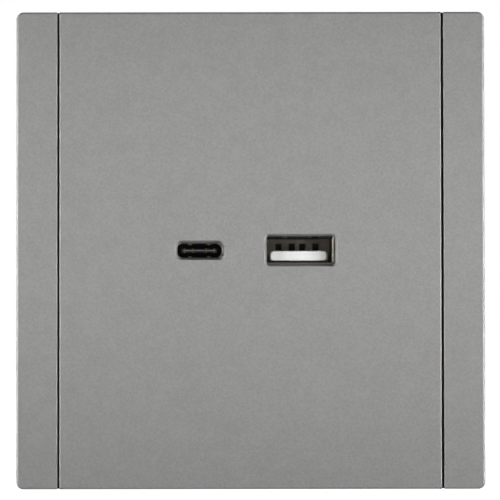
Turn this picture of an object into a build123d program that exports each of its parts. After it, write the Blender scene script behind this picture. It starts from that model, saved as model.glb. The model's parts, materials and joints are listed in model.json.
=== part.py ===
from build123d import *
import os

# Flush wall socket with a USB-C and a USB-A receptacle, in millimetres.
# The origin is the centre of the cover on the wall plane. +Z is up and +Y goes into the wall,
# so the face of the cover looks along -Y. Outlines are drawn as seen from the front.

# Cover, as seen from the front
cover_w = 86.0
cover_h = 87.6
stand_off = 10.0  # wall plane to front face
strip_w = 7.62  # side strip of the frame
reveal = 0.3  # dark gap between strip and centre plate
reveal_d = 1.5  # front face to the ledge that closes the reveal
ledge_clear = 0.1
plate_shift = -0.03  # play of the centre plate to the left
outer_corner_r = 1.3
front_edge_r = 0.5  # round the cover's outline
reveal_edge_r = 0.28  # along the reveals
reveal_corner_r = 0.3  # ends of the reveals

# Walls and ribs of the two cover mouldings
face_t = 1.6
skirt_t = 1.6
strip_wall_t = 1.5
strip_rib_count = 3
strip_rib_set = 1.0  # rib end to wall plane
web_t = 3.0  # frame web, wall plane to its front
web_inset = 0.4  # web edge behind the plate's top and bottom edge
plate_seat = 0.2  # play between the plate and what it seats on
rib_t = 1.0
rib_h = 2.2
rib_from_skirt = 6.5
rib_from_edge = 19.0

# Port openings in the centre plate
port_pitch = 18.5
lip_w = 0.45  # funnel of an opening, across and into the face
lip_d = 1.5
lip_edge_r = 0.1
a_hole_w = 12.55
a_hole_h = 5.06
a_hole_r = 0.4
c_hole_w = 8.45
c_hole_h = 2.66
c_hole_r = 0.9
collar_t = 1.0
collar_h = 1.2
collar_clear = 0.5

# Both receptacles stand on the port board
receptacle_pitch = 18.3
receptacle_shift = -0.3  # play of the board to the left
receptacle_len = 14.0
mouth_gap = 0.1  # back of the plate's face to the shell mouths
sheet_t = 0.3
rim_r = 0.1  # edges of the shell mouths
insulator_clear = 0.05
leg_w = 1.0
leg_out = 0.8  # leg end behind the board
leg_clear = 0.1
spring_slot = 0.25  # cut beside a leaf spring
leaf_t = 0.24
leaf_crest = 0.7  # crest along the leaf, as a share of it
leaf_end = 0.8  # inward bend left at the tip, as a share of the bow

# USB-A receptacle
a_mouth_w = 12.5
a_mouth_h = 5.12
a_corner_r = 0.35
a_cavity = 10.3  # mouth to back wall
a_base_gap = 0.65  # back wall below the shell's upper wall
a_leg_z = 0.8
a_tongue_w = 10.6
a_tongue_t = 1.86
a_tongue_r = 0.65
a_tongue_shift = 0.15  # tongue right of the shell's middle
a_tongue_top = -0.07  # above the port centre
a_tongue_gap = 0.35  # under the tongue
a_tongue_set = 0.8  # tip behind the mouth
a_tongue_lead = 0.4
a_contact_x = (-3.5, -1.0, 1.0, 3.5)
a_contact_w = 1.0
a_contact_t = 0.25
a_contact_bow = 0.12
a_contact_crest = 3.0  # crest behind the contact's end
a_contact_set = 1.2  # contact end behind the tongue's tip
a_window_w = 1.2
a_window_h = 1.5
a_spring_x = 2.9
a_spring_w = 1.8
a_spring_set = 2.4  # root behind the mouth
a_spring_len = 5.2
a_spring_bow = 0.5

# USB-C receptacle
c_mouth_w = 8.34
c_mouth_h = 2.56
c_flat = 0.16  # straight height at the mouth's ends
c_lift = -0.04  # above the port centre
c_leg_x = 2.1
c_cavity = 6.5
c_tongue_w = 6.69
c_tongue_t = 0.7
c_tongue_set = 0.6
c_tongue_lead = 0.12
c_contact_count = 12
c_contact_pitch = 0.5
c_contact_w = 0.25
c_contact_t = 0.14
c_contact_set = 1.3  # signal contact behind the tongue's tip
c_signal_count = 2  # signal contacts between an end contact and the next power contact
c_power_set = 0.05  # power contacts reach the tip, to meet the plug first
c_mid_t = 0.2
c_mid_w = 5.85
c_mid_tail = 2.0  # mid plate inside the base
c_spring_x = 1.74
c_spring_w = 0.6
c_spring_set = 0.8  # tip behind the mouth
c_spring_len = 2.6
c_spring_bow = 0.3

# Steel mounting plate
mount_w = 70.0
mount_t = 1.2
mount_chamfer = 7.0
mount_clear = 0.25
box_screw_spacing = 60.0
box_slot_w = 4.2
box_slot_len = 7.0
box_head_room_r = 4.2

# Housing: box in the wall, flange and tower in front of the mounting plate
body_w = 46.0
body_h = 46.0
body_chamfer = 6.0
body_edge_r = 1.2
wall_t = 1.6
flange_margin = 1.0
flange_t = 1.6
flange_clear = 0.5
tower_in = 2.0  # tower inside the housing's width
tower_h = 22.0
tower_r = 2.0
tower_edge = 0.45
room_r = 0.4
tower_gap = 0.4  # collar end to tower
shell_clear = 0.3
window_in = 0.9  # mounting plate's opening inside the housing's walls
spigot_clear = 0.2
spigot_t = 1.2
spigot_d = 1.5

# Snap hooks of the centre plate and their ridges on the tower
hook_w = 8.0
hook_x = 8.0
hook_t = 1.3
hook_root = 0.5
hook_barb = 0.55
hook_barb_len = 0.9
hook_clear = 0.15
ridge_h = 0.7
ridge_len = 1.2
ridge_over = 1.0  # ridge wider than its hook

# Screws of the housing and of the boards
boss_r = 3.0
boss_len = 12.0
screw_r = 1.25
screw_len = 12.0
screw_head_r = 2.3
screw_head_t = 1.4
thread_gap = 0.03
hole_play = 0.25
small_screw_r = 0.9
small_screw_len = 4.4
small_head_r = 1.7
small_head_t = 1.1
recess_w = 0.5
recess_d = 0.6

# Boards
board_clear = 0.4
port_board_t = 1.2
main_board_t = 1.6
board_gap = 11.5  # port board to main board
main_standoff = 2.0
standoff_r = 2.2
standoff_in = 3.2  # main board edge to its screw
post_r = 1.8
post_in = 2.2  # port board edge to its posts
pin_count = 6
pin_pitch = 2.54
pin_w = 0.64
pin_out = 0.7
strip_h = 2.5
header_in = 2.4  # lower edge of the port board to the pin row

# Parts on the main board, as (across, up) from the cover's centre
transformer_in = 0.5  # upper edge of the board to the bobbin
bulk_at = ((-9.6, -14.5), (-0.2, -14.5))
output_at = ((-6.6, 2.2), (0.6, 2.2))
choke_at = (9.4, -14.5)
fuse_in = 6.4  # side edge of the board to the part's middle
fuse_z = -6.2
rectifier_at = (10.2, 3.4)
main_chip_at = (-11.6, -4.6)
suppressor_in = 6.8
suppressor_z = 8.4
bridge_in = 6.6
bridge_z = 9.6
bulk_r = 4.0
bulk_h = 11.0
output_r = 3.15
output_h = 7.6
can_edge = 0.5
can_groove_h = 1.6
can_groove_d = 0.35
core_w = 17.0
core_h = 12.4
core_t = 5.0
core_mid_w = 5.0
core_leg_w = 2.6
core_yoke = 2.2
core_lift = 0.8  # over the board
bobbin_wall = 0.7
bobbin_play = 0.1
bobbin_h = 11.0
bobbin_rail = 2.4
winding_in = 0.4  # winding below the flange edge
winding_r = 1.5
choke_r = 3.8
choke_h = 9.0
choke_flange = 1.2
choke_core_r = 1.8
choke_wire_r = 3.4
fuse_r = 2.6
fuse_h = 6.5
fuse_edge = 0.8
suppressor_w = 5.0
suppressor_h = 8.0
suppressor_d = 8.5
suppressor_edge = 0.5
bridge_r = 3.8
bridge_t = 2.8
bridge_edge = 1.1
bridge_lift = 1.4
lead_r = 0.35
lead_spread = 5.0
chip_lift = 0.1
chip_leg_w = 0.5
chip_leg_t = 0.2
chip_leg_out = 0.9
rectifier_body = (6.4, 6.2, 2.6)  # across, up, off the board
rectifier_leg_count = 2  # on each side
rectifier_leg_pitch = 3.6
main_chip_body = (3.9, 4.9, 1.5)
main_chip_leg_count = 4
main_chip_leg_pitch = 1.27
port_chip_body = (4.4, 4.0, 1.1)
port_chip_leg_count = 3
port_chip_leg_pitch = 1.2
port_chip_in = 4.6  # upper edge of the port board to the chip

# Mains terminals behind the housing
pole_pitch = 10.0
terminal_w = 20.0
terminal_h = 12.0
terminal_d = 9.5
terminal_z = -13.0
terminal_edge = 0.6
terminal_play = 0.1
barrier_t = 1.2
barrier_h = 1.0
pillar_w = 5.8
pillar_h = 8.0
pillar_d = 6.4
wire_r = 2.0
wire_depth = 9.0  # lower face of the block to the end of the wire hole
wire_from_wall = 2.9  # housing to the wire hole's axis
wire_lead = 0.4
clamp_r = 1.4
clamp_head_r = 2.1
clamp_head_t = 1.4
clamp_lift = 0.2  # head off the pillar
clamp_slot = 0.6
peg_r = 1.0
peg_in = 2.5  # block edge to its pegs
tail_w = 1.2
tail_t = 0.8
tail_in = 1.6  # upper end of the pillar to its tail

# Places along Y, from the front to the back
face_y = -stand_off
face_back_y = face_y + face_t
web_y = -web_t
skirt_end_y = web_y - plate_seat
mouth_y = face_back_y + mouth_gap
tower_y = face_back_y + collar_h + tower_gap
flange_y = -mount_t - flange_t
hook_end_y = flange_y - plate_seat
barb_y = hook_end_y - hook_barb_len
port_y = mouth_y + receptacle_len
port_back_y = port_y + port_board_t
main_y = port_back_y + board_gap
main_back_y = main_y + main_board_t
floor_y = main_back_y + main_standoff
body_d = floor_y + wall_t
terminal_y = body_d + terminal_d

# Places and sizes across the cover
centre_w = cover_w - 2 * (strip_w + reveal)
strip_x = cover_w / 2 - strip_w
ledge_w = reveal - abs(plate_shift) - ledge_clear
a_hole_x = port_pitch / 2
c_hole_x = -port_pitch / 2
a_x = receptacle_pitch / 2 + receptacle_shift
c_x = -receptacle_pitch / 2 + receptacle_shift
a_tongue_z = a_tongue_top - a_tongue_t / 2
a_z = a_tongue_top - a_tongue_t - a_tongue_gap + a_mouth_h / 2
c_corner_r = (c_mouth_h - c_flat) / 2
tower_w = body_w - 2 * tower_in
window_w = body_w - 2 * (wall_t + window_in)
window_h = body_h - 2 * (wall_t + window_in)
boss_x = body_w / 2 - body_chamfer
boss_z = body_h / 2 - body_chamfer
port_board_w = tower_w - 2 * (wall_t + board_clear)
port_board_h = tower_h - 2 * (wall_t + board_clear)
post_x = port_board_w / 2 - post_in
post_z = port_board_h / 2 - post_in
board_x = body_w / 2 - wall_t - board_clear
board_z = body_h / 2 - wall_t - board_clear
standoff_x = board_x - standoff_in
transformer_at = (0, board_z - transformer_in - bobbin_h / 2)
fuse_at = (board_x - fuse_in, fuse_z)
suppressor_at = (suppressor_in - board_x, suppressor_z)
bridge_at = (board_x - bridge_in, bridge_z)
header_z = header_in - port_board_h / 2
pole_x = pole_pitch / 2
wire_y = body_d + wire_from_wall
tail_z = terminal_z + pillar_h / 2 - tail_in
bosses = [(sx * boss_x, sz * boss_z) for sx in (-1, 1) for sz in (-1, 1)]
posts = [(sx * post_x, sz * post_z) for sx in (-1, 1) for sz in (-1, 1)]
port_screws = [(-post_x, post_z), (post_x, -post_z)]
main_screws = [(-standoff_x, 0), (standoff_x, 0)]
pin_xs = [(i - (pin_count - 1) / 2) * pin_pitch for i in range(pin_count)]
poles = (-pole_x, pole_x)


def prism(outline, y0, y1):
    # outline as seen from the front, from y0 back to y1
    return extrude(Plane.XZ.offset(-y0) * outline, amount=y0 - y1)


def slab(x, z, w, h, y0, y1):
    return prism(Pos(x, z) * Rectangle(w, h), y0, y1)


def rod(x, z, r, y0, y1):
    return prism(Pos(x, z) * Circle(r), y0, y1)


def side_cut(points, x0, x1):
    # outline given as (y, z) points, from x0 across to x1
    return extrude(Plane.YZ.offset(x0) * Polygon(*points, align=None), amount=x1 - x0)


def octagon(w, h, c):
    return chamfer(Rectangle(w, h).vertices(), c)


def inset(outline, t):
    return offset(outline, amount=-t, kind=Kind.INTERSECTION)


def tube(x, z, w, h, r, t, y0, y1):
    # folded sheet tube, w by h and r inside
    outside = RectangleRounded(w + 2 * t, h + 2 * t, r + t)
    return prism(Pos(x, z) * (outside - RectangleRounded(w, h, r)), y0, y1)


def front_edges(solid):
    return solid.faces().sort_by(Axis.Y)[0].edges()


def cover_form():
    # outer form that the strips and the plate share, with its softened front edge
    form = prism(RectangleRounded(cover_w, cover_h, outer_corner_r), face_y, 0)
    return fillet(front_edges(form), front_edge_r)


def soften_reveal(solid, x):
    # the front edge along a reveal
    return fillet(front_edges(solid).sort_by(lambda edge: abs(edge.center().X - x))[0], reveal_edge_r)


def port_hole(solid, x, w, h, r):
    # opening through the plate's face: a funnel with a softened rim, then a straight throat
    wide = Pos(x, 0) * RectangleRounded(w + 2 * lip_w, h + 2 * lip_w, r + lip_w)
    narrow = Pos(x, 0) * RectangleRounded(w, h, r)
    funnel = loft([Plane.XZ.offset(-face_y) * wide, Plane.XZ.offset(-face_y - lip_d) * narrow], ruled=True)
    cut = solid - funnel - prism(narrow, face_y, face_back_y)
    inner = [e for wire in cut.faces().sort_by(Axis.Y)[0].inner_wires() for e in wire.edges()]
    rim = [e for e in inner if abs(e.center().X - x) < w]
    return fillet(rim, lip_edge_r)


def port_collar(x, z, w, h):
    # rim behind the plate's face, round a shell mouth
    return tube(x, z, w + 2 * collar_clear, h + 2 * collar_clear, collar_t / 2, collar_t,
                face_back_y, face_back_y + collar_h)


def snap_hook():
    inner = tower_h / 2 + ridge_h + hook_clear
    outer = inner + hook_t
    points = [(face_back_y, inner), (barb_y, inner), (barb_y, inner - hook_barb),
              (hook_end_y, inner), (hook_end_y, outer), (face_back_y, outer + hook_root)]
    right = side_cut(points, hook_x - hook_w / 2, hook_x + hook_w / 2)
    pair = right + mirror(right, about=Plane.YZ)
    return pair + mirror(pair, about=Plane.XY)


def centre_plate():
    inner_w = centre_w - 2 * skirt_t
    inner_h = cover_h - 2 * skirt_t
    outline = Pos(plate_shift, 0) * Rectangle(centre_w, cover_h)
    tray = prism(outline, face_y, skirt_end_y)
    for side in (-1, 1):
        tray = soften_reveal(tray, plate_shift + side * centre_w / 2)
    tray &= prism(fillet(outline.vertices(), reveal_corner_r), face_y, skirt_end_y)
    tray &= cover_form()
    tray -= slab(plate_shift, 0, inner_w, inner_h, face_back_y, skirt_end_y)
    for side in (-1, 1):
        rib_x = plate_shift + side * (inner_w / 2 - rib_from_skirt)
        rib_z = side * (inner_h / 2 - rib_from_edge)
        tray += slab(rib_x, 0, rib_t, inner_h, face_back_y, face_back_y + rib_h)
        tray += slab(plate_shift, rib_z, inner_w, rib_t, face_back_y, face_back_y + rib_h)
    tray += port_collar(a_x, a_z, a_mouth_w + 2 * sheet_t, a_mouth_h + 2 * sheet_t)
    tray += port_collar(c_x, c_lift, c_mouth_w + 2 * sheet_t, c_mouth_h + 2 * sheet_t)
    tray += snap_hook()
    tray = port_hole(tray, a_hole_x, a_hole_w, a_hole_h, a_hole_r)
    return port_hole(tray, c_hole_x, c_hole_w, c_hole_h, c_hole_r)


def side_strip():
    # hollow strip on the right, open to the wall, with cross ribs and a ledge beside the plate
    middle = strip_x + strip_w / 2
    hollow_w = strip_w - 2 * strip_wall_t
    hollow_h = cover_h - 2 * strip_wall_t
    outline = Pos(middle, 0) * Rectangle(strip_w, cover_h)
    strip = soften_reveal(prism(outline, face_y, 0), strip_x)
    strip &= prism(fillet(outline.vertices().group_by(Axis.X)[0], reveal_corner_r), face_y, 0)
    strip &= cover_form()
    strip -= slab(middle, 0, hollow_w, hollow_h, face_y + strip_wall_t, 0)
    for i in range(strip_rib_count):
        rib_z = ((i + 1) / (strip_rib_count + 1) - 0.5) * hollow_h
        strip += slab(middle, rib_z, hollow_w, rib_t, face_y + strip_wall_t, -strip_rib_set)
    strip += slab(strip_x - ledge_w / 2, 0, ledge_w, cover_h - 2 * web_inset, face_y + reveal_d, web_y)
    return strip


def cover_frame():
    web_w = 2 * strip_x + strip_wall_t
    opening = body_w + 2 * (flange_margin + flange_clear)
    opening_h = body_h + 2 * (flange_margin + flange_clear)
    web = slab(0, 0, web_w, cover_h - 2 * web_inset, web_y, 0)
    web -= prism(RectangleRounded(opening, opening_h, tower_r), web_y, 0)
    head_room = SlotOverall(box_screw_spacing + 2 * box_head_room_r, 2 * box_head_room_r)
    web -= prism(head_room + Rot(0, 0, 90) * head_room, web_y, 0)
    right = side_strip()
    recess_side = mount_w + 2 * mount_clear
    return web + right + mirror(right, about=Plane.YZ) - slab(0, 0, recess_side, recess_side, -mount_t, 0)


def plate_window():
    # opening of the mounting plate, its corners cut back from the housing's screw bosses
    to_boss = boss_x + boss_z - (boss_r + spigot_clear) * 2 ** 0.5
    return octagon(window_w, window_h, (window_w + window_h) / 2 - to_boss)


def mounting_plate():
    plate = octagon(mount_w, mount_w, mount_chamfer) - plate_window()
    for turn in range(0, 360, 90):
        plate -= Rot(0, 0, turn) * Pos(box_screw_spacing / 2, 0) * SlotOverall(box_slot_len, box_slot_w)
    for x, z in bosses:
        plate -= Pos(x, z) * Circle(screw_r + hole_play)
    return prism(plate, -mount_t, 0)


def catch_ridges():
    # ramps above and below the tower that the plate's hooks snap over
    foot = tower_h / 2
    back = barb_y - hook_clear
    points = [(back - ridge_len, foot), (back, foot + ridge_h), (back, foot)]
    half = hook_w / 2 + ridge_over
    right = side_cut(points, hook_x - half, hook_x + half)
    pair = right + mirror(right, about=Plane.YZ)
    return pair + mirror(pair, about=Plane.XY)


def front_housing():
    flange_w = body_w + 2 * flange_margin
    flange_h = body_h + 2 * flange_margin
    shell = prism(octagon(flange_w, flange_h, body_chamfer), flange_y, -mount_t)
    shell += chamfer(front_edges(prism(RectangleRounded(tower_w, tower_h, tower_r), tower_y, flange_y)),
                     tower_edge)
    rim = inset(plate_window(), spigot_clear)
    shell += prism(rim - inset(rim, spigot_t), -mount_t, spigot_d)
    room = RectangleRounded(tower_w - 2 * wall_t, tower_h - 2 * wall_t, room_r)
    shell -= prism(room, tower_y + wall_t, spigot_d)
    shell += catch_ridges()
    for x, z in posts:
        shell += rod(x, z, post_r, tower_y + wall_t, port_y)
    for x, z in port_screws:
        shell -= rod(x, z, small_screw_r + thread_gap, port_back_y - small_screw_len - hole_play, port_y)
    for x, z in bosses:
        shell -= rod(x, z, screw_r + hole_play, flange_y, -mount_t)
    play = 2 * (sheet_t + shell_clear)
    a_window = Pos(a_x, a_z) * RectangleRounded(a_mouth_w + play, a_mouth_h + play, a_corner_r)
    c_window = Pos(c_x, c_lift) * RectangleRounded(c_mouth_w + play, c_mouth_h + play, c_corner_r)
    shell -= prism(a_window + c_window, tower_y, tower_y + wall_t)
    return shell


def rear_housing():
    outline = octagon(body_w, body_h, body_chamfer)
    box = prism(outline, 0, body_d)
    box = fillet(box.faces().sort_by(Axis.Y)[-1].edges(), body_edge_r)
    room = prism(inset(outline, wall_t), 0, floor_y)
    box -= room
    for x, z in bosses:
        box += rod(x, z, boss_r, 0, boss_len) & prism(outline, 0, boss_len)
    for x, z in bosses:
        box -= rod(x, z, screw_r + thread_gap, 0, boss_len)
    for x, z in main_screws:
        box += rod(x, z, standoff_r, main_back_y, floor_y)
        box -= rod(x, z, small_screw_r + thread_gap, main_back_y, main_y + small_screw_len + thread_gap)
    for x in poles:
        box -= slab(x, tail_z, tail_w + 2 * leg_clear, tail_t + 2 * leg_clear, floor_y, body_d)
    for z in peg_places():
        box -= rod(0, z, peg_r + leg_clear, floor_y, body_d)
    return box


def pan_screw(x, z, r, length, head_r, head_t, seat_y):
    # screw with a pan head and a cross recess in front of seat_y
    head = rod(x, z, head_r, seat_y - head_t, seat_y)
    head = chamfer(front_edges(head), head_t / 2)
    screw = head + rod(x, z, r, seat_y, seat_y + length)
    for w, h in ((head_r, recess_w), (recess_w, head_r)):
        screw -= slab(x, z, w, h, seat_y - head_t, seat_y - head_t + recess_d)
    return screw


def housing_screws():
    return [pan_screw(x, z, screw_r, screw_len, screw_head_r, screw_head_t, flange_y) for x, z in bosses]


def board_screws():
    main = [pan_screw(x, z, small_screw_r, small_screw_len, small_head_r, small_head_t, main_y)
            for x, z in main_screws]
    port = []
    for x, z in port_screws:
        screw = pan_screw(x, z, small_screw_r, small_screw_len, small_head_r, small_head_t, 0)
        port.append(Pos(0, port_back_y, 0) * mirror(screw, about=Plane.XZ))
    return main + port


def a_shell_legs():
    # (x, z, wide, high) of the four legs in the shell's side walls
    across = (a_mouth_w + sheet_t) / 2
    return [(a_x + sx * across, a_z + sz * a_leg_z, sheet_t, leg_w) for sx in (-1, 1) for sz in (-1, 1)]


def c_shell_legs():
    up = (c_mouth_h + sheet_t) / 2
    return [(c_x + sx * c_leg_x, c_lift + sz * up, leg_w, sheet_t) for sx in (-1, 1) for sz in (-1, 1)]


def board_legs():
    legs = a_shell_legs()
    legs += c_shell_legs()
    contact_z = a_tongue_top - a_contact_t / 2
    legs += [(a_x + x, contact_z, a_contact_w, a_contact_t) for x in a_contact_x]
    return legs


def port_board():
    board = RectangleRounded(port_board_w, port_board_h, post_r)
    for x, z, w, h in board_legs():
        board -= Pos(x, z) * Rectangle(w + 2 * leg_clear, h + 2 * leg_clear)
    for x, z in port_screws:
        board -= Pos(x, z) * Circle(small_screw_r + hole_play)
    for x in pin_xs:
        board -= Pos(x, header_z) * Circle(pin_w / 2 * 2 ** 0.5 + leg_clear)
    return prism(board, port_y, port_back_y)


def main_board():
    board = inset(octagon(body_w, body_h, body_chamfer), wall_t + board_clear)
    for x, z in main_screws:
        board -= Pos(x, z) * Circle(small_screw_r + hole_play)
    for x in pin_xs:
        board -= Pos(x, header_z) * Circle(pin_w / 2 * 2 ** 0.5 + leg_clear)
    for x in poles:
        board -= Pos(x, tail_z) * Rectangle(tail_w + 2 * leg_clear, tail_t + 2 * leg_clear)
    return prism(board, main_y, main_back_y)


def header_strip():
    strip = Rectangle(pin_count * pin_pitch, strip_h)
    for x in pin_xs:
        strip -= Pos(x, 0) * Rectangle(pin_w + 2 * thread_gap, pin_w + 2 * thread_gap)
    return prism(Pos(0, header_z) * strip, main_y - strip_h, main_y)


def header_pins():
    return [slab(x, header_z, pin_w, pin_w, port_y - pin_out, main_back_y + pin_out) for x in pin_xs]


def leaf_spring(x, wall_z, side, width, root_y, tip_y, bow):
    # leaf bent inwards from its root in a shell wall, and a little back at its tip
    crest_y = root_y + leaf_crest * (tip_y - root_y)
    line = Polyline((root_y, wall_z), (crest_y, wall_z - side * bow), (tip_y, wall_z - side * bow * leaf_end))
    leaf = trace(line, line_width=leaf_t)
    return extrude(Plane.YZ.offset(x - width / 2) * leaf, amount=width)


def sprung_shell(x, z, w, h, r, sides, springs):
    # sides: 1 for leaves in the upper wall, -1 for the lower one
    # springs: places across the shell, and each leaf's width, root, tip and bow
    places, width, root_y, tip_y, bow = springs
    shell = tube(x, z, w, h, r, sheet_t, mouth_y, port_y)
    shell = fillet(front_edges(shell), rim_r)
    way = 1 if tip_y > root_y else -1
    slot_ends = sorted((root_y, tip_y + way * spring_slot))
    for side in sides:
        wall_z = z + side * (h + sheet_t) / 2
        for place in places:
            shell -= slab(x + place, wall_z, width + 2 * spring_slot, 2 * sheet_t, *slot_ends)
            shell += leaf_spring(x + place, wall_z, side, width, root_y - way * sheet_t, tip_y, bow)
    return shell


def usb_a_shell():
    root_y = mouth_y + a_spring_set
    springs = ((-a_spring_x, a_spring_x), a_spring_w, root_y, root_y + a_spring_len, a_spring_bow)
    shell = sprung_shell(a_x, a_z, a_mouth_w, a_mouth_h, a_corner_r, (1,), springs)
    for x, z, w, h in a_shell_legs():
        shell += slab(x, z, w, h, port_y - leg_w, port_back_y + leg_out)
    return shell


def usb_a_insulator():
    back_y = mouth_y + a_cavity
    tip_y = mouth_y + a_tongue_set
    base_h = a_mouth_h - a_base_gap - insulator_clear
    base = RectangleRounded(a_mouth_w - 2 * insulator_clear, base_h, a_corner_r)
    base_z = a_z + (insulator_clear - a_base_gap) / 2
    body = prism(Pos(a_x, base_z) * base, back_y, port_y)
    tongue_x = a_x + a_tongue_shift
    tongue = prism(Pos(tongue_x, a_tongue_z) * RectangleRounded(a_tongue_w, a_tongue_t, a_tongue_r),
                   tip_y, port_y)
    body += chamfer(front_edges(tongue), a_tongue_lead)
    for x in a_contact_x:
        body -= slab(a_x + x, a_tongue_top + a_window_h / 2, a_window_w, a_window_h, back_y, port_y)
        body -= slab(a_x + x, a_tongue_top, a_contact_w + 2 * insulator_clear,
                     2 * (a_contact_t + insulator_clear), tip_y + a_contact_set - insulator_clear, port_y)
    return body


def usb_a_contacts():
    front = mouth_y + a_tongue_set + a_contact_set
    end = port_back_y + leg_out
    top = a_tongue_top
    low = top - a_contact_t
    crest = front + a_contact_crest
    foot = mouth_y + a_cavity
    points = [(front, low), (end, low), (end, top), (foot, top), (crest, top + a_contact_bow), (front, top)]
    half = a_contact_w / 2
    return [side_cut(points, a_x + x - half, a_x + x + half) for x in a_contact_x]


def usb_c_shell():
    tip_y = mouth_y + c_spring_set
    springs = ((-c_spring_x, c_spring_x), c_spring_w, tip_y + c_spring_len, tip_y, c_spring_bow)
    shell = sprung_shell(c_x, c_lift, c_mouth_w, c_mouth_h, c_corner_r, (-1, 1), springs)
    for x, z, w, h in c_shell_legs():
        shell += slab(x, z, w, h, port_y - leg_w, port_back_y + leg_out)
    return shell


def c_contact_strips():
    # (across, up, front end) of every contact, flush in the tongue's two faces
    strips = []
    for i in range(c_contact_count):
        x = (i - (c_contact_count - 1) / 2) * c_contact_pitch
        from_end = min(i, c_contact_count - 1 - i)
        back = c_power_set if from_end in (0, c_signal_count + 1) else c_contact_set
        for up in (-1, 1):
            strips.append((x, up * (c_tongue_t - c_contact_t) / 2, mouth_y + c_tongue_set + back))
    return strips


def usb_c_insulator():
    back_y = mouth_y + c_cavity
    base = inset(RectangleRounded(c_mouth_w, c_mouth_h, c_corner_r), insulator_clear)
    body = prism(Pos(c_x, c_lift) * base, back_y, port_y)
    tongue = slab(c_x, c_lift, c_tongue_w, c_tongue_t, mouth_y + c_tongue_set, back_y)
    body += chamfer(front_edges(tongue), c_tongue_lead)
    body -= [slab(c_x + x, c_lift + z, c_contact_w, c_contact_t, front, port_y)
             for x, z, front in c_contact_strips()]
    body -= slab(c_x, c_lift, c_mid_w, c_mid_t, mouth_y + c_tongue_set, back_y + c_mid_tail)
    return body


def usb_c_contacts():
    return [slab(c_x + x, c_lift + z, c_contact_w, c_contact_t, front, port_y)
            for x, z, front in c_contact_strips()]


def usb_c_mid_plate():
    return slab(c_x, c_lift, c_mid_w, c_mid_t, mouth_y + c_tongue_set, mouth_y + c_cavity + c_mid_tail)


def core_half(y0, y1):
    # E-shaped ferrite half, its yoke at y0 and its legs ending at y1
    x, z = transformer_at
    step = core_yoke if y1 > y0 else -core_yoke
    low, high = min(y0, y1), max(y0, y1)
    half = slab(x, z, core_w, core_t, low, high)
    room = (core_w - core_mid_w) / 2 - core_leg_w
    for side in (-1, 1):
        middle = x + side * (core_mid_w + room) / 2
        half -= slab(middle, z, room, core_t, min(y0 + step, y1), max(y0 + step, y1))
    return half


def transformer_core():
    back = main_y - core_lift
    middle = back - core_h / 2
    return [core_half(back - core_h, middle), core_half(back, middle)]


def bobbin_ends():
    back = main_y - core_lift - core_yoke - bobbin_play
    return back - core_h + 2 * (core_yoke + bobbin_play), back


def spool_size():
    return core_mid_w + 2 * (bobbin_play + bobbin_wall), core_t + 2 * (bobbin_play + bobbin_wall)


def flange_width():
    return core_w - 2 * (core_leg_w + bobbin_play)


def transformer_bobbin():
    x, z = transformer_at
    front, back = bobbin_ends()
    spool_w, spool_h = spool_size()
    bobbin = slab(x, z, spool_w, spool_h, front, back)
    for y0 in (front, back - bobbin_wall):
        bobbin += slab(x, z, flange_width(), bobbin_h, y0, y0 + bobbin_wall)
    rail_z = (bobbin_h - bobbin_rail) / 2
    for side in (-1, 1):
        bobbin += slab(x, z + side * rail_z, flange_width(), bobbin_rail, back - bobbin_wall, main_y)
    return bobbin - slab(x, z, core_mid_w + 2 * bobbin_play, core_t + 2 * bobbin_play, front, main_y)


def transformer_winding():
    x, z = transformer_at
    front, back = bobbin_ends()
    spool_w, spool_h = spool_size()
    coil = RectangleRounded(flange_width() - 2 * winding_in, bobbin_h - 2 * winding_in, winding_r)
    coil -= Rectangle(spool_w, spool_h)
    return prism(Pos(x, z) * coil, front + bobbin_wall, back - bobbin_wall)


def turned(profile, at):
    # profile of (radius, height off the main board) turned about an axis square to the board
    body = revolve(Polygon(*profile, align=None), Axis.Y)
    return Pos(at[0], main_y, at[1]) * Rot(180, 0, 0) * body


def can(at, r, h):
    # capacitor can: rolled edge at the top, crimp near the board
    low, high = can_groove_h - can_groove_d, can_groove_h + can_groove_d
    profile = [(0, 0), (r, 0), (r, low), (r - can_groove_d, can_groove_h), (r, high),
               (r, h - can_edge), (r - can_edge, h), (0, h)]
    return turned(profile, at)


def bulk_capacitors():
    return [can(at, bulk_r, bulk_h) for at in bulk_at]


def output_capacitors():
    return [can(at, output_r, output_h) for at in output_at]


def choke_core():
    top = choke_h - choke_flange
    profile = [(0, 0), (choke_r, 0), (choke_r, choke_flange), (choke_core_r, choke_flange),
               (choke_core_r, top), (choke_r, top), (choke_r, choke_h), (0, choke_h)]
    return turned(profile, choke_at)


def choke_winding():
    inner = choke_core_r + thread_gap
    top = choke_h - choke_flange
    return turned([(inner, choke_flange), (choke_wire_r, choke_flange), (choke_wire_r, top), (inner, top)],
                  choke_at)


def mains_fuse():
    return turned([(0, 0), (fuse_r, 0), (fuse_r, fuse_h - fuse_edge), (fuse_r - fuse_edge, fuse_h),
                   (0, fuse_h)], fuse_at)


def suppression_capacitor():
    x, z = suppressor_at
    box = slab(x, z, suppressor_w, suppressor_h, main_y - suppressor_d, main_y)
    return chamfer(box.edges().filter_by(Axis.Y) + front_edges(box), suppressor_edge)


def bridge_capacitor():
    # ceramic disc on two leads
    x, z = bridge_at
    middle_y = main_y - bridge_lift - bridge_r
    disc = Pos(x, middle_y, z) * Rot(0, 90, 0) * Cylinder(bridge_r, bridge_t)
    disc = chamfer(disc.edges().filter_by(GeomType.CIRCLE), bridge_edge)
    for side in (-1, 1):
        disc += rod(x, z + side * lead_spread / 2, lead_r, middle_y, main_y)
    return disc


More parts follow.
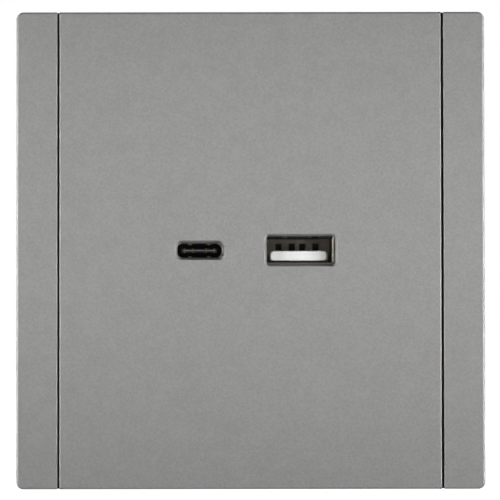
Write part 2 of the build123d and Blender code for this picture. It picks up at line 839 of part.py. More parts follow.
def chip(at, body, count, pitch):
    # moulded package in front of y = 0 with bent legs down to it on both sides
    x, z = at
    w, h, t = body
    package = slab(x, z, w, h, -chip_lift - t, -chip_lift)
    high = -chip_lift - t / 2
    side = w / 2
    outline = Polygon((side, high), (side, high - chip_leg_t), (side + chip_leg_out / 2, high - chip_leg_t),
                      (side + chip_leg_out / 2, -chip_leg_t), (side + chip_leg_out, -chip_leg_t),
                      (side + chip_leg_out, 0), (side + chip_leg_out / 2 - chip_leg_t, 0),
                      (side + chip_leg_out / 2 - chip_leg_t, high), align=None)
    for i in range(count):
        leg_z = z + (i - (count - 1) / 2) * pitch
        leg = Pos(x, 0, leg_z) * extrude(outline, amount=chip_leg_w / 2, both=True)
        other = Pos(2 * x, 0, 0) * mirror(leg, about=Plane.YZ)
        package += leg + other
    return package


def bridge_rectifier():
    return Pos(0, main_y, 0) * chip(rectifier_at, rectifier_body, rectifier_leg_count, rectifier_leg_pitch)


def control_chips():
    main = Pos(0, main_y, 0) * chip(main_chip_at, main_chip_body, main_chip_leg_count, main_chip_leg_pitch)
    port_at = (c_x, port_board_h / 2 - port_chip_in)
    port = chip(port_at, port_chip_body, port_chip_leg_count, port_chip_leg_pitch)
    return [main, Pos(0, port_back_y, 0) * mirror(port, about=Plane.XZ)]


def peg_places():
    return [terminal_z + side * (terminal_h / 2 - peg_in) for side in (-1, 1)]


def terminal_block():
    low = terminal_z - terminal_h / 2
    block = slab(0, terminal_z, terminal_w, terminal_h, body_d, terminal_y)
    block = fillet(block.edges().filter_by(Axis.Y), terminal_edge)
    block += slab(0, terminal_z, barrier_t, terminal_h, terminal_y, terminal_y + barrier_h)
    for z in peg_places():
        block += rod(0, z, peg_r, floor_y, body_d)
    for x in poles:
        block -= slab(x, terminal_z, pillar_w + 2 * terminal_play, pillar_h + 2 * terminal_play,
                      body_d, body_d + pillar_d + terminal_play)
        block -= rod(x, terminal_z, clamp_head_r + hole_play, body_d + pillar_d, terminal_y)
        entry = Pos(x, wire_y, low) * Circle(wire_r)
        block -= extrude(entry, amount=terminal_h / 2)
        mouth = Pos(x, wire_y, low) * Cone(wire_r + wire_lead, wire_r, wire_lead,
                                           align=(Align.CENTER, Align.CENTER, Align.MIN))
        block -= mouth
    return block


def terminal_pillar(x):
    low = terminal_z - terminal_h / 2
    pillar = slab(x, terminal_z, pillar_w, pillar_h, body_d, body_d + pillar_d)
    pillar += slab(x, tail_z, tail_w, tail_t, main_y - leg_out, body_d)
    pillar -= extrude(Pos(x, wire_y, low) * Circle(wire_r), amount=wire_depth)
    return pillar - rod(x, terminal_z, clamp_r + thread_gap, wire_y, body_d + pillar_d)


def terminal_pillars():
    return [terminal_pillar(x) for x in poles]


def terminal_screw(x):
    # slotted clamp screw, backed off so that the wire hole is clear
    seat = body_d + pillar_d + clamp_lift
    screw = rod(x, terminal_z, clamp_r, wire_y + wire_r + hole_play, seat)
    screw += rod(x, terminal_z, clamp_head_r, seat, seat + clamp_head_t)
    slot = slab(x, terminal_z, 2 * clamp_head_r, clamp_slot, seat + clamp_head_t / 2, seat + clamp_head_t)
    return screw - slot


def terminal_screws():
    return [terminal_screw(x) for x in poles]


pieces = [
    cover_frame, centre_plate, mounting_plate, front_housing, rear_housing, housing_screws,
    port_board, main_board, board_screws, header_strip, header_pins,
    usb_a_shell, usb_a_insulator, usb_a_contacts,
    usb_c_shell, usb_c_insulator, usb_c_contacts, usb_c_mid_plate,
    transformer_core, transformer_bobbin, transformer_winding,
    bulk_capacitors, output_capacitors, suppression_capacitor, bridge_capacitor,
    bridge_rectifier, control_chips, mains_fuse, choke_core, choke_winding,
    terminal_block, terminal_pillars, terminal_screws,
]

os.makedirs("parts", exist_ok=True)
for make in pieces:
    made = make()
    if isinstance(made, list):
        made = Compound(children=[solid for piece in made for solid in piece.solids()])
    export_step(made, f"parts/{make.__name__}.step")
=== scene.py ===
import json
import math

import bmesh
import bpy
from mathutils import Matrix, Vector


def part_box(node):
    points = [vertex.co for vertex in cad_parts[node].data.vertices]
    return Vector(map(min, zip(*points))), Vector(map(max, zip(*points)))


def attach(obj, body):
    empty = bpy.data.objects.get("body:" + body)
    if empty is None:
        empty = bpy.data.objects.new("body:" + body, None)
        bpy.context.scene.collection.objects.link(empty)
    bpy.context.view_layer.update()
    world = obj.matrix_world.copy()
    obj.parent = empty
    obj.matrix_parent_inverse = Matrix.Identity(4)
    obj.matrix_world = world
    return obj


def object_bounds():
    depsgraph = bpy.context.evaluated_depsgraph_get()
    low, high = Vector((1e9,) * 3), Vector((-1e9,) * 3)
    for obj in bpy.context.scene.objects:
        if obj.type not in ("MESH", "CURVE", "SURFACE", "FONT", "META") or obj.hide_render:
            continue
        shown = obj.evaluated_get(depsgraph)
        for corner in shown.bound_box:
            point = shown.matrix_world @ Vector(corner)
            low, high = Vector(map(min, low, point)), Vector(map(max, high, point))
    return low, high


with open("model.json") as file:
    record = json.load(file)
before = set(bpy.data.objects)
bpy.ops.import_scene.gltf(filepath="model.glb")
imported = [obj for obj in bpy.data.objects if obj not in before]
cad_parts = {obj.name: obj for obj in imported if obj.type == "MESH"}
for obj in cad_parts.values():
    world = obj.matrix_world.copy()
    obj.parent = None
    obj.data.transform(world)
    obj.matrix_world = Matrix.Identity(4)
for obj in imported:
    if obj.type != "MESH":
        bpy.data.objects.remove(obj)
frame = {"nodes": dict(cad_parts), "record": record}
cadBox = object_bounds()
nodes = frame["nodes"]
mm = 0.001  # the script works in metres
print("frame loaded:", len(nodes), "pieces")


def toLinear(code):  # sRGB hex to linear colour
    channels = [int(code[i:i + 2], 16) / 255 for i in (1, 3, 5)]
    return [c / 12.92 if c <= 0.04045 else ((c + 0.055) / 1.055) ** 2.4 for c in channels] + [1.0]


white = toLinear("#FFFFFF")


# a key is an input's name or place, or a property; a Mix has its share at 0, its numbers at 2 and 3
# and its colours at 6 and 7
def addNode(tree, kind, settings={}, links={}):
    node = tree.nodes.new("ShaderNode" + kind)
    for key, value in settings.items():
        if isinstance(key, str) and hasattr(node, key):
            setattr(node, key, value)
        else:
            node.inputs[key].default_value = value
    for key, source in links.items():
        if isinstance(source, bpy.types.Node):  # a node stands for its first live output
            source = next(socket for socket in source.outputs if socket.enabled)
        tree.links.new(source, node.inputs[key])
    return node


def startMaterial(name, finish):  # constant values go straight to the shader's own sockets
    material = bpy.data.materials.new(name)
    material.use_nodes = True
    tree = material.node_tree
    tree.nodes.clear()
    shader = addNode(tree, "BsdfPrincipled", finish)
    addNode(tree, "OutputMaterial", links={"Surface": shader})
    place = addNode(tree, "TexCoord").outputs["Object"]
    return material, tree, shader, place


blotchPerScale = 0.5  # a noise's blotches are half its period across
noiseDetail = 2.0  # finer layers in a noise
middling = {"From Min": 0.3, "From Max": 0.7}  # where most of a noise's values lie

lacquer = {
    "light": "#9B9B9A", "dark": "#90908F", "bareAndShade": "#101011",
    "metallic": 0.3, "roughness": (0.5, 0.6), "bareRoughness": 0.9,
    "flake": 0.17 * mm, "flakeDetail": 1.0,  # real flake is about 0.02 mm, drawn coarser so that it shows
    "cloud": 1.4 * mm, "cloudShare": 0.25,
    "contrast": (0.35, 0.65),  # the noise turns from dark to light between these values
    "peel": 0.6 * mm, "peelDepth": 0.0012 * mm,
    "beside": 0.5 * mm,  # reach of the reveal each side of the centre plate's edge
    "revealEnd": 0.03 * mm,  # the reveal stops short of the plate's upper and lower edge
    "revealDepth": (0.05 * mm, 0.12 * mm),  # painted shade: the reveal darkens to black between these depths
    "funnelDepth": (0.35 * mm, 1.4 * mm), "funnelShadeShare": 0.6,  # painted shade darkens the ports' funnels down their depth, part way to black
    "backDepth": (1.65 * mm, 1.9 * mm),  # unpainted dark plastic behind the plate's face
    "rim": (1.5 * mm, 0.9 * mm),  # overspray on the rims that look at the wall, in from the outer sides
}


# metallic lacquer sprayed on moulded ABS: even silver grey, fine sparkle, broad soft shine
def satinLacquer():
    material, tree, shader, place = startMaterial("satinLacquer", {"IOR": 1.5})
    flake = addNode(tree, "TexNoise", {"Scale": blotchPerScale / lacquer["flake"],
                                       "Detail": lacquer["flakeDetail"]}, {"Vector": place})
    cloud = addNode(tree, "TexNoise", {"Scale": blotchPerScale / lacquer["cloud"], "Detail": noiseDetail},
                    {"Vector": place})
    both = addNode(tree, "Mix", {0: lacquer["cloudShare"]}, {2: flake, 3: cloud})
    start, end = lacquer["contrast"]
    shade = addNode(tree, "MapRange", {"From Min": start, "From Max": end}, {"Value": both})
    dark, light = toLinear(lacquer["dark"]), toLinear(lacquer["light"])
    paint = addNode(tree, "Mix", {"data_type": "RGBA", 6: dark, 7: light}, {0: shade})
    # painted shade: black deep in the reveals and darker down the ports' funnels; unpainted dark plastic
    # behind the face
    axes = addNode(tree, "SeparateXYZ", links={"Vector": place})
    depth = addNode(tree, "Math", {"operation": "SUBTRACT", 1: cadBox[0][1]}, {0: axes.outputs["Y"]})
    across = addNode(tree, "Math", {"operation": "ABSOLUTE"}, {0: axes.outputs["X"]})
    upright = addNode(tree, "Math", {"operation": "ABSOLUTE"}, {0: axes.outputs["Z"]})
    low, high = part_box("centre_plate")
    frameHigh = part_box("cover_frame")[1]
    # painted shade deep in the reveal
    start, end = lacquer["revealDepth"]
    deep = addNode(tree, "MapRange", {"From Min": start, "From Max": end}, {"Value": depth})
    beside = addNode(tree, "Math", {"operation": "COMPARE", 1: (high.x - low.x) / 2, 2: lacquer["beside"]},
                     {0: across})
    under = addNode(tree, "Math", {"operation": "LESS_THAN", 1: high.z - lacquer["revealEnd"]},
                    {0: upright})
    slit = addNode(tree, "Math", {"operation": "MULTIPLY"}, {0: beside, 1: under})
    reveal = addNode(tree, "Math", {"operation": "MULTIPLY"}, {0: deep, 1: slit})
    # painted shade down the ports' funnels
    start, end = lacquer["funnelDepth"]
    fade = {"From Min": start, "From Max": end, "To Max": lacquer["funnelShadeShare"]}
    funnelShade = addNode(tree, "MapRange", fade, {"Value": depth})
    start, end = lacquer["backDepth"]
    behind = addNode(tree, "MapRange", {"From Min": start, "From Max": end}, {"Value": depth})
    funnelShadeAndBack = addNode(tree, "Math", {"operation": "MAXIMUM"}, {0: funnelShade, 1: behind})
    inner, outer = lacquer["rim"]
    inX = addNode(tree, "MapRange", {"From Min": frameHigh.x - outer, "From Max": frameHigh.x - inner},
                  {"Value": across})
    inZ = addNode(tree, "MapRange", {"From Min": frameHigh.z - outer, "From Max": frameHigh.z - inner},
                  {"Value": upright})
    inside = addNode(tree, "Math", {"operation": "MULTIPLY"}, {0: inX, 1: inZ})
    back = addNode(tree, "Math", {"operation": "MULTIPLY"}, {0: funnelShadeAndBack, 1: inside})
    bareAndShade = addNode(tree, "Math", {"operation": "MAXIMUM"}, {0: reveal, 1: back})
    colour = addNode(tree, "Mix", {"data_type": "RGBA", 7: toLinear(lacquer["bareAndShade"])}, {0: bareAndShade, 6: paint})
    tree.links.new(colour.outputs[2], shader.inputs["Base Color"])
    metallic = addNode(tree, "Mix", {2: lacquer["metallic"], 3: 0.0}, {0: bareAndShade})
    tree.links.new(metallic.outputs[0], shader.inputs["Metallic"])
    smooth, rough = lacquer["roughness"]
    shine = addNode(tree, "MapRange", {**middling, "To Min": smooth, "To Max": rough}, {"Value": flake})
    dull = addNode(tree, "Mix", {3: lacquer["bareRoughness"]}, {0: bareAndShade, 2: shine})
    tree.links.new(dull.outputs[0], shader.inputs["Roughness"])
    peel = addNode(tree, "TexNoise", {"Scale": blotchPerScale / lacquer["peel"], "Detail": noiseDetail},
                   {"Vector": place})
    bump = addNode(tree, "Bump", {"Distance": lacquer["peelDepth"]}, {"Height": peel})
    tree.links.new(bump.outputs["Normal"], shader.inputs["Normal"])
    return material


nickel = {
    "colours": ("#8E857A", "#A49B8E"), "line": 0.12 * mm, "stretch": (1, 0.1, 1), "roughness": (0.14, 0.22),
    "sheared": 0.2,  # roughness added on the sheared edges that look out of the mouth
    "edgeOn": (0.6, 0.9),  # a face counts as such an edge from here on, where 1 looks straight out
}


# nickel plated steel strip, folded: warm bright faces with drawn lines, dull sheared edges
def nickelSheet():
    material, tree, shader, place = startMaterial("nickelSheet", {"Metallic": 1.0})
    along = addNode(tree, "Mapping", {"Scale": nickel["stretch"]}, {"Vector": place})
    drawn = addNode(tree, "TexNoise", {"Scale": blotchPerScale / nickel["line"], "Detail": noiseDetail},
                    {"Vector": along})
    share = addNode(tree, "MapRange", middling, {"Value": drawn})
    darker, lighter = [toLinear(code) for code in nickel["colours"]]
    colour = addNode(tree, "Mix", {"data_type": "RGBA", 6: darker, 7: lighter}, {0: share})
    tree.links.new(colour.outputs[2], shader.inputs["Base Color"])
    normal = addNode(tree, "NewGeometry").outputs["Normal"]
    axes = addNode(tree, "SeparateXYZ", links={"Vector": normal})
    square = addNode(tree, "Math", {"operation": "ABSOLUTE"}, {0: axes.outputs["Y"]})
    start, end = nickel["edgeOn"]
    edge = addNode(tree, "MapRange", {"From Min": start, "From Max": end, "To Max": nickel["sheared"]},
                   {"Value": square})
    smooth, rough = nickel["roughness"]
    shine = addNode(tree, "MapRange", {**middling, "To Min": smooth, "To Max": rough}, {"Value": drawn})
    dull = addNode(tree, "Math", {"operation": "ADD"}, {0: shine, 1: edge})
    tree.links.new(dull.outputs[0], shader.inputs["Roughness"])
    return material


laminate = {
    "base": {"IOR": 1.52, "Roughness": 0.28},
    "mask": ("#0B2A17", "#0D311B"), "track": "#1C5631", "pitch": 4 * mm, "height": 0.03 * mm,
    # width of the tracks, their soft edges and the fields between them, as shares of the pitch
    "layout": {"Mortar Size": 0.06, "Mortar Smooth": 0.2, "Brick Width": 0.9, "Row Height": 0.4},
}


def boardLaminate():  # glass epoxy under green solder mask: tracks show as paler lines, glossy
    material, tree, shader, place = startMaterial("boardLaminate", laminate["base"])
    flat = addNode(tree, "Mapping", {"Rotation": (math.radians(90), 0, 0)}, {"Vector": place})
    first, second = [toLinear(code) for code in laminate["mask"]]
    tracks = addNode(tree, "TexBrick", {
        **laminate["layout"], "Scale": 1 / laminate["pitch"],
        "Color1": first, "Color2": second, "Mortar": toLinear(laminate["track"]),
    }, {"Vector": flat})
    tree.links.new(tracks.outputs["Color"], shader.inputs["Base Color"])
    bump = addNode(tree, "Bump", {"Distance": laminate["height"]}, {"Height": tracks.outputs["Fac"]})
    tree.links.new(bump.outputs["Normal"], shader.inputs["Normal"])
    return material


wavePeriod = 2 * math.pi / 20  # a wave texture's period at a scale of 1
turnWobble = {"Distortion": 0.4, "Detail": 1.0}  # turns lie a little uneven

windings = {
    # yellow polyester tape over the winding: glossy, with the wire's turns showing through
    "polyesterTape": {"base": {"IOR": 1.6, "Roughness": 0.25}, "colours": ("#D8A916", "#E9C43C"),
                      "turn": 0.45 * mm, "height": 0.03 * mm},
    # enamelled copper wound in layers: red brown gloss, one ridge for each turn
    "enamelledWire": {"base": {"Metallic": 0.7, "Roughness": 0.25}, "colours": ("#5E2710", "#A4532A"),
                      "turn": 0.4 * mm, "height": 0.12 * mm},
}


def woundFinish(name):
    winding = windings[name]
    material, tree, shader, place = startMaterial(name, winding["base"])
    turns = addNode(tree, "TexWave", {**turnWobble, "bands_direction": "Y",
                                      "Scale": wavePeriod / winding["turn"]}, {"Vector": place})
    share = addNode(tree, "MapRange", middling, {"Value": turns.outputs["Fac"]})
    darker, lighter = [toLinear(code) for code in winding["colours"]]
    colour = addNode(tree, "Mix", {"data_type": "RGBA", 6: darker, 7: lighter}, {0: share})
    tree.links.new(colour.outputs[2], shader.inputs["Base Color"])
    bump = addNode(tree, "Bump", {"Distance": winding["height"]}, {"Height": turns.outputs["Fac"]})
    tree.links.new(bump.outputs["Normal"], shader.inputs["Normal"])
    return material


# blotch tints the surface; grain breaks up its shine and gives it its height; stretch draws both out
surfaces = {
    # zinc plated cold rolled sheet: pale cool metal, faint grain along the rolling direction
    "zincSteel": {
        "base": {"Metallic": 1.0}, "colours": ("#B9BDC2", "#C9C8C2"), "blotch": 6 * mm,
        "grain": 0.25 * mm, "stretch": (0.06, 1, 1), "roughness": (0.28, 0.42), "height": 0.0008 * mm,
    },
    # glass filled polycarbonate from a spark eroded mould: charcoal, dull, finely pebbled
    "mouldedHousing": {
        "base": {"IOR": 1.58}, "colours": ("#2C2D2F", "#343537"), "blotch": 9 * mm,
        "grain": 0.22 * mm, "roughness": (0.5, 0.66), "height": 0.02 * mm,
    },
    # thin cold rolled steel strip: cool dark grey, dull along the rolling
    "rolledSteel": {
        "base": {"Metallic": 1.0}, "colours": ("#6E7178", "#8F9299"), "blotch": 0.15 * mm,
        "grain": 0.15 * mm, "stretch": (0.2, 1, 1), "roughness": (0.35, 0.5), "height": 0.001 * mm,
    },
    # glass filled liquid crystal polymer: blue black with a dull skin and faint flow lines
    "tonguePolymer": {
        "base": {"IOR": 1.6}, "colours": ("#17181B", "#1F2125"), "blotch": 0.3 * mm,
        "grain": 0.3 * mm, "stretch": (1, 0.3, 1), "roughness": (0.48, 0.62), "height": 0.006 * mm,
    },
    # moulded PBT: clean white, soft satin gloss
    "ivoryInsulator": {
        "base": {"IOR": 1.55}, "colours": ("#F1F5F3", "#F7F9F7"), "blotch": 1.5 * mm,
        "grain": 0.15 * mm, "roughness": (0.32, 0.42), "height": 0.004 * mm,
    },
    # moulded liquid crystal polymer: deep black with a dull skin and faint flow lines
    "blackInsulator": {
        "base": {"IOR": 1.6}, "colours": ("#0C0C0D", "#131314"), "blotch": 0.3 * mm,
        "grain": 0.3 * mm, "stretch": (1, 0.3, 1), "roughness": (0.48, 0.62), "height": 0.006 * mm,
    },
    # black strips that stand in for the shade deep in the reveals, painted shade, finished like closed cell
    # EPDM rubber: black, dull, faintly pitted
    "shadeStripRubber": {
        "base": {"IOR": 1.5}, "colours": ("#0A0A0B", "#101011"), "blotch": 0.4 * mm,
        "grain": 0.12 * mm, "roughness": (0.8, 0.95), "height": 0.01 * mm,
    },
    # gold flash on stamped bronze: rich yellow metal with stamping lines
    "goldFlash": {
        "base": {"Metallic": 1.0}, "colours": ("#D9A94E", "#EBC576"), "blotch": 0.1 * mm,
        "grain": 0.1 * mm, "stretch": (1, 0.15, 1), "roughness": (0.34, 0.48), "height": 0.001 * mm,
    },
    # sintered ferrite, ground: charcoal grey, dense speckle
    "groundFerrite": {
        "base": {"IOR": 2.2, "Metallic": 0.1}, "colours": ("#333436", "#46474A"), "blotch": 0.15 * mm,
        "grain": 0.15 * mm, "roughness": (0.5, 0.72), "height": 0.01 * mm,
    },
    # PET sleeve shrunk on the can: dark navy, glossy, slightly rippled
    "shrunkSleeve": {
        "base": {"IOR": 1.57}, "colours": ("#1A2136", "#202842"), "blotch": 2.5 * mm,
        "grain": 2.5 * mm, "roughness": (0.22, 0.34), "height": 0.03 * mm,
    },
    # deep drawn aluminium can: bright, with lines along the draw
    "drawnAluminium": {
        "base": {"Metallic": 1.0}, "colours": ("#C6C8CA", "#D6D7D8"), "blotch": 0.15 * mm,
        "grain": 0.15 * mm, "stretch": (1, 0.08, 1), "roughness": (0.24, 0.36), "height": 0.001 * mm,
    },
    # moulded polyester box: warm yellow, satin
    "yellowCase": {
        "base": {"IOR": 1.55}, "colours": ("#D49C12", "#DDA81E"), "blotch": 0.3 * mm,
        "grain": 0.3 * mm, "roughness": (0.34, 0.46), "height": 0.01 * mm,
    },
    # epoxy powder coat dipped on a ceramic disc: deep blue, uneven gloss
    "dippedEpoxy": {
        "base": {"IOR": 1.55}, "colours": ("#1B478F", "#2557A6"), "blotch": 1.2 * mm,
        "grain": 1.2 * mm, "roughness": (0.16, 0.3), "height": 0.05 * mm,
    },
    # moulded polyamide: light grey, slightly waxy, fine texture
    "greyPolyamide": {
        "base": {"IOR": 1.53}, "colours": ("#C3C3BE", "#CDCDC8"), "blotch": 4 * mm,
        "grain": 0.25 * mm, "roughness": (0.4, 0.52), "height": 0.012 * mm,
    },
    # machined brass: yellow metal with fine tool marks
    "turnedBrass": {
        "base": {"Metallic": 1.0}, "colours": ("#BF9743", "#D2AE5E"), "blotch": 0.1 * mm,
        "grain": 0.1 * mm, "stretch": (0.1, 1, 1), "roughness": (0.22, 0.36), "height": 0.001 * mm,
    },
}


def grainedFinish(name):
    surface = surfaces[name]
    material, tree, shader, place = startMaterial(name, surface["base"])
    along = addNode(tree, "Mapping", {"Scale": surface.get("stretch", (1, 1, 1))}, {"Vector": place})
    blotch = addNode(tree, "TexNoise", {"Scale": blotchPerScale / surface["blotch"], "Detail": noiseDetail},
                     {"Vector": along})
    grain = addNode(tree, "TexNoise", {"Scale": blotchPerScale / surface["grain"], "Detail": noiseDetail},
                    {"Vector": along})
    share = addNode(tree, "MapRange", middling, {"Value": blotch})
    darker, lighter = [toLinear(code) for code in surface["colours"]]
    colour = addNode(tree, "Mix", {"data_type": "RGBA", 6: darker, 7: lighter}, {0: share})
    tree.links.new(colour.outputs[2], shader.inputs["Base Color"])
    smooth, rough = surface["roughness"]
    shine = addNode(tree, "MapRange", {**middling, "To Min": smooth, "To Max": rough}, {"Value": grain})
    tree.links.new(shine.outputs["Result"], shader.inputs["Roughness"])
    bump = addNode(tree, "Bump", {"Distance": surface["height"]}, {"Height": grain})
    tree.links.new(bump.outputs["Normal"], shader.inputs["Normal"])
    return material


made = {
    "satin_lacquer": satinLacquer(), "nickel_sheet": nickelSheet(), "board_laminate": boardLaminate(),
    "winding_tape": woundFinish("polyesterTape"), "enamel_wire": woundFinish("enamelledWire"),
    "zinc_steel": grainedFinish("zincSteel"), "housing_plastic": grainedFinish("mouldedHousing"),
    "tongue_steel": grainedFinish("rolledSteel"), "tongue_plastic": grainedFinish("tonguePolymer"),
    "ivory_plastic": grainedFinish("ivoryInsulator"), "black_plastic": grainedFinish("blackInsulator"),
    "gold_contact": grainedFinish("goldFlash"), "ferrite": grainedFinish("groundFerrite"),
    "can_sleeve": grainedFinish("shrunkSleeve"), "can_aluminium": grainedFinish("drawnAluminium"),
    "yellow_case": grainedFinish("yellowCase"), "blue_lacquer": grainedFinish("dippedEpoxy"),
    "terminal_plastic": grainedFinish("greyPolyamide"), "pillar_brass": grainedFinish("turnedBrass"),
}
for subpart in frame["record"]["subparts"]:
    mesh = nodes[subpart["node"]].data
    mesh.materials.clear()
    mesh.materials.append(made[subpart["material_slot"]])
print("materials:", len(made))


def startBox(low, high):  # between two corners
    shape = bmesh.new()
    bmesh.ops.create_cube(shape, size=1.0)
    bmesh.ops.scale(shape, vec=[b - a for a, b in zip(low, high)], verts=shape.verts)
    bmesh.ops.translate(shape, vec=[(a + b) / 2 for a, b in zip(low, high)], verts=shape.verts)
    return shape


def roundEdges(shape, edges, radius, steps):
    bmesh.ops.bevel(shape, geom=edges, offset=radius, segments=steps, affect="EDGES", profile=0.5,
                    material=-1)


def addPiece(name, shape, material):
    mesh = bpy.data.meshes.new(name)
    shape.to_mesh(mesh)
    shape.free()
    mesh.materials.append(material)
    piece = bpy.data.objects.new(name, mesh)
    bpy.context.scene.collection.objects.link(piece)
    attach(piece, "root")


gapShadeStrip = {
    "stripEdge": 35.38 * mm,  # inner side of the frame's strips, from the middle
    "depth": (0.75 * mm, 1.5 * mm),  # from the cover's face, back on the ledge that closes the reveal
    "clear": 0.01 * mm, "end": 0.05 * mm,  # to the sides of the reveal, and short of the cover's edges
    "edge": 0.06 * mm, "edgeSteps": 3,  # rounding of its front
}


def addGapShadeStrip(name, left, right, rubber):  # thin black strip of painted shade that makes a reveal dark up to its ends
    front, back = [cadBox[0][1] + depth for depth in gapShadeStrip["depth"]]
    clear, end = gapShadeStrip["clear"], gapShadeStrip["end"]
    shape = startBox((left + clear, front, cadBox[0][2] + end), (right - clear, back, cadBox[1][2] - end))
    middle = (front + back) / 2
    frontEdges = [edge for edge in shape.edges if all(vert.co.y < middle for vert in edge.verts)]
    roundEdges(shape, frontEdges, gapShadeStrip["edge"], gapShadeStrip["edgeSteps"])
    addPiece(name, shape, rubber)


plateLow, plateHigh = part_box("centre_plate")
shadeStripRubber = grainedFinish("shadeStripRubber")
addGapShadeStrip("gap_shade_strip_left", -gapShadeStrip["stripEdge"], plateLow.x, shadeStripRubber)
addGapShadeStrip("gap_shade_strip_right", plateHigh.x, gapShadeStrip["stripEdge"], shadeStripRubber)
print("gap strips in the reveals")


tongueNose = {
    "middle": (8.86 * mm, -1.025 * mm), "size": (10.66 * mm, 1.85 * mm),  # across and up
    "ahead": 0.25 * mm, "behind": 1.0 * mm,  # from the solid's tip
    "corner": 0.66 * mm, "cornerSteps": 8,  # seen from the front
    "edge": 0.32 * mm, "edgeSteps": 6,  # round the front
}


def addTongueNose(name):  # rounded tip of the USB-A tongue, over the solid's chamfered one
    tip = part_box("usb_a_insulator")[0].y
    front, back = tip - tongueNose["ahead"], tip + tongueNose["behind"]
    width, height = tongueNose["size"]
    x, z = tongueNose["middle"]
    shape = startBox((x - width / 2, front, z - height / 2), (x + width / 2, back, z + height / 2))
    longEdges = [edge for edge in shape.edges if abs(edge.verts[0].co.y - edge.verts[1].co.y) > back - tip]
    roundEdges(shape, longEdges, tongueNose["corner"], tongueNose["cornerSteps"])
    frontEdges = [edge for edge in shape.edges if all(vert.co.y < tip for vert in edge.verts)]
    roundEdges(shape, frontEdges, tongueNose["edge"], tongueNose["edgeSteps"])
    for face in shape.faces:
        face.smooth = len(face.verts) == 4  # all but the flat front and back
    addPiece(name, shape, made["ivory_plastic"])


addTongueNose("usb_a_tongue_nose")
print("nose on the tongue")


view = {
    "sensor": 36.0, "lens": 129.5,
    "faceDistance": 329.8 * mm,
    "left": -0.105 * mm, "aim": 0.02 * mm,  # where the view's axis meets the face
    "tilt": 0.9,  # degrees, looking up from a little below the middle
    "roll": 0.08,
    "clipStart": 10 * mm,
}


def addCamera():
    data = bpy.data.cameras.new("camera")
    data.sensor_width = view["sensor"]
    data.lens = view["lens"]
    data.clip_start = view["clipStart"]
    camera = bpy.data.objects.new("camera", data)
    bpy.context.scene.collection.objects.link(camera)
    tilt = math.radians(view["tilt"])
    height = view["aim"] - view["faceDistance"] * math.tan(tilt)
    camera.location = (view["left"], cadBox[0][1] - view["faceDistance"], height)
    camera.rotation_euler = (math.radians(90) + tilt, math.radians(view["roll"]), 0)
    bpy.context.scene.camera = camera


studio = {
    # gridded softboxes each side of the camera, a little below the object's middle, angles in degrees
    "side": {"distance": 780 * mm, "height": -55 * mm, "size": (120 * mm, 80 * mm), "spread": 20,
             "left": {"angles": (58, 68, 78), "power": 0.0374, "aim": 16 * mm},
             "right": {"angles": (54, 64, 74), "power": 0.0405, "aim": 8 * mm}},
    "rear": {"out": 700 * mm, "back": 700 * mm, "up": 550 * mm, "size": (500 * mm, 500 * mm), "power": 2.0},
    "ambient": 0.05,
    "band": (0.1, 0.6), "bandTop": 0.15,  # the world's light fades from the horizon to straight up and down
    "cameraSide": 0.08,  # what shine sees behind the camera, where the backdrop is 1
    "turn": 0.2,  # half the reach of the change between the two, in a direction of length 1
    "floor": "#D8D8D8", "floorSide": 6000 * mm,
    "floorGlow": 0.6, "floorShine": 0.1,  # its white under the object, to the camera and to shine; lower there as painted shade round the object, darkest in what shine sees
    "floorFade": (150 * mm, 450 * mm),  # and full white from here on
    "floorDrop": 70 * mm,  # floor under the cover's lower edge, so that its shadow stays below the picture
}


def addLamp(name, place, aim, size, power, spread=180):  # a spread of 180 degrees is an open lamp
    data = bpy.data.lights.new(name, "AREA")
    data.shape = "RECTANGLE"
    data.size, data.size_y = size
    data.energy = power
    data.spread = math.radians(spread)
    lamp = bpy.data.objects.new(name, data)
    bpy.context.scene.collection.objects.link(lamp)
    lamp.location = place
    lamp.rotation_euler = (Vector(aim) - Vector(place)).to_track_quat("-Z", "Y").to_euler()
    lamp.visible_camera = False


def addLamps():
    side, rear = studio["side"], studio["rear"]
    for name, way in (("left", -1), ("right", 1)):
        box = side[name]
        for angle in box["angles"]:
            turn = math.radians(angle)
            reach = side["distance"]
            place = (way * reach * math.sin(turn), -reach * math.cos(turn), side["height"])
            addLamp(name + "Softbox" + str(angle), place, (0, 0, box["aim"]), side["size"], box["power"],
                    side["spread"])
        place = (way * rear["out"], rear["back"], rear["up"])
        addLamp(name + "Rear", place, (0, 0, 0), rear["size"], rear["power"])


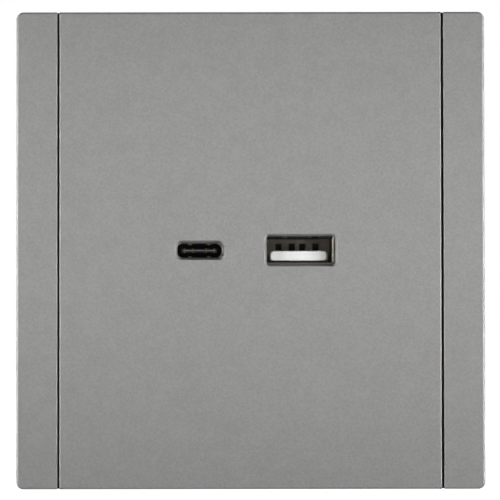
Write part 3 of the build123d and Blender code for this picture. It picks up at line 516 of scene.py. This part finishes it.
def addWorld():  # white to the camera; a pale band round the horizon for shine and soft light
    world = bpy.data.worlds.new("studio")
    bpy.context.scene.world = world
    world.use_nodes = True
    tree = world.node_tree
    tree.nodes.clear()
    ray = addNode(tree, "LightPath")
    direction = addNode(tree, "TexCoord").outputs["Generated"]
    axes = addNode(tree, "SeparateXYZ", links={"Vector": direction})
    steep = addNode(tree, "Math", {"operation": "ABSOLUTE"}, {0: axes.outputs["Z"]})
    start, end = studio["band"]
    fade = {"From Min": start, "From Max": end, "To Min": 1.0, "To Max": studio["bandTop"]}
    band = addNode(tree, "MapRange", fade, {"Value": steep})
    fade = {"From Min": -studio["turn"], "From Max": studio["turn"], "To Min": studio["cameraSide"]}
    backdrop = addNode(tree, "MapRange", fade, {"Value": axes.outputs["Y"]})
    shiny = addNode(tree, "Math", {"operation": "MAXIMUM"},
                    {0: ray.outputs["Is Glossy Ray"], 1: ray.outputs["Is Transmission Ray"]})
    level = addNode(tree, "Mix", {2: studio["ambient"]}, {0: shiny, 3: backdrop})
    light = addNode(tree, "Math", {"operation": "MULTIPLY"}, {0: band, 1: level})
    strength = addNode(tree, "Math", {"operation": "MAXIMUM"}, {0: light, 1: ray.outputs["Is Camera Ray"]})
    sky = addNode(tree, "Background", {"Color": white}, {"Strength": strength})
    addNode(tree, "OutputWorld", links={"Surface": sky})


def addFloor():  # pale matt floor that reads white to the camera and keeps the real shadow; its lower glow near the object adds painted shade round it, and under it in reflections
    level = cadBox[0][2] - studio["floorDrop"]
    bpy.ops.mesh.primitive_plane_add(size=studio["floorSide"], location=(0, 0, level))
    floor = bpy.context.object
    floor.name = "floor"
    material = bpy.data.materials.new("floorPaper")
    material.use_nodes = True
    tree = material.node_tree
    tree.nodes.clear()
    ray = addNode(tree, "LightPath")
    shiny = addNode(tree, "Math", {"operation": "MAXIMUM"},
                    {0: ray.outputs["Is Glossy Ray"], 1: ray.outputs["Is Transmission Ray"]})
    place = addNode(tree, "TexCoord").outputs["Object"]
    away = addNode(tree, "VectorMath", {"operation": "LENGTH"}, {0: place}).outputs["Value"]
    near, far = studio["floorFade"]
    fade = {"From Min": near, "From Max": far}
    # lower glow near the object: painted shade round it to the camera, and under it in reflections
    toCamera = addNode(tree, "MapRange", {**fade, "To Min": studio["floorGlow"]}, {"Value": away})
    toShine = addNode(tree, "MapRange", {**fade, "To Min": studio["floorShine"]}, {"Value": away})
    seen = addNode(tree, "Math", {"operation": "MULTIPLY"}, {0: ray.outputs["Is Camera Ray"], 1: toCamera})
    mirrored = addNode(tree, "Math", {"operation": "MULTIPLY"}, {0: shiny, 1: toShine})
    glow = addNode(tree, "Math", {"operation": "MAXIMUM"}, {0: seen, 1: mirrored})
    matt = addNode(tree, "BsdfDiffuse", {"Color": toLinear(studio["floor"])})
    shine = addNode(tree, "Emission", {"Color": white}, {"Strength": glow})
    paper = addNode(tree, "AddShader", links={0: matt, 1: shine})
    addNode(tree, "OutputMaterial", links={"Surface": paper})
    floor.data.materials.append(material)


addCamera()
addLamps()
addWorld()
addFloor()
bpy.context.scene.view_settings.view_transform = "Standard"
print("camera, lamps, world and floor in place")
